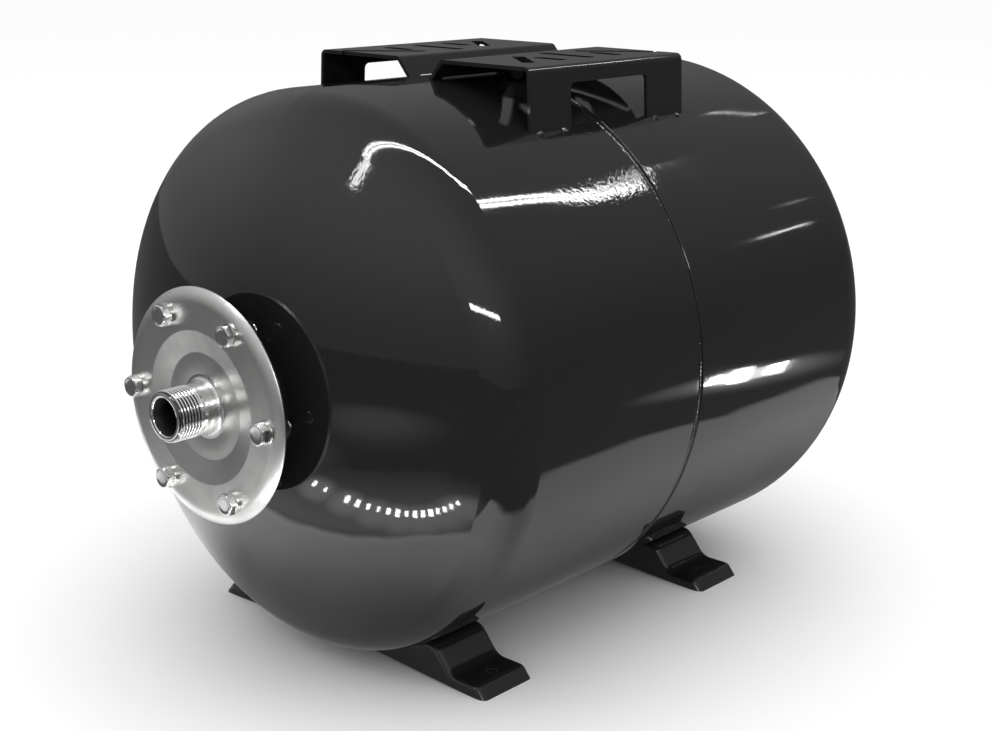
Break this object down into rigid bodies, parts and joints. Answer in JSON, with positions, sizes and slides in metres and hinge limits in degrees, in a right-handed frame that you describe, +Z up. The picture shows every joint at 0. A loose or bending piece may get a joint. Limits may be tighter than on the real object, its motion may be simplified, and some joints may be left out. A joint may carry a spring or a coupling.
{
  "type": "well pressure tank",
  "caption": "Horizontal steel pressure tank with a rubber bladder, a bolted water flange with a threaded nipple, pressed feet, slotted pump brackets and an air valve.",
  "frame": {"origin": "on the floor under the middle of the part's box, which is also under the girth seam", "axes": "+X along the tank's axis from the water flange to the air valve, +Z up, -Y the side with the near bracket"},
  "size_m": [0.5916, 0.38, 0.4034],
  "materials": {
    "tank_paint": "gloss black paint with a fine orange peel",
    "bracket_paint": "gloss black paint",
    "foot_paint": "gloss black paint",
    "zinc_sheet": "bright zinc plate, drawn and a little scuffed",
    "zinc_nipple": "bright zinc plate on turned steel",
    "zinc_hardware": "bright zinc plate",
    "bladder_rubber": "matt black moulded rubber",
    "seal_rubber": "matt black rubber",
    "valve_brass": "turned brass",
    "cap_plastic": "moulded black plastic"
  },
  "bodies": {
    "root": {"front_shell": "tank_paint", "rear_shell": "tank_paint", "bladder": "bladder_rubber", "counter_flange": "zinc_sheet", "inlet_nipple": "zinc_nipple", "flange_bolts": "zinc_hardware", "spring_washers": "zinc_hardware", "weld_nuts": "tank_paint", "front_foot": "foot_paint", "rear_foot": "foot_paint", "near_pump_bracket": "bracket_paint", "far_pump_bracket": "bracket_paint", "valve_bush": "tank_paint", "valve_gasket": "seal_rubber", "valve_stem": "valve_brass", "valve_core": "valve_brass", "core_seal": "seal_rubber", "core_pin": "valve_brass", "dust_cap": "cap_plastic", "valve_cover": "cap_plastic"}
  },
  "joints": []
}
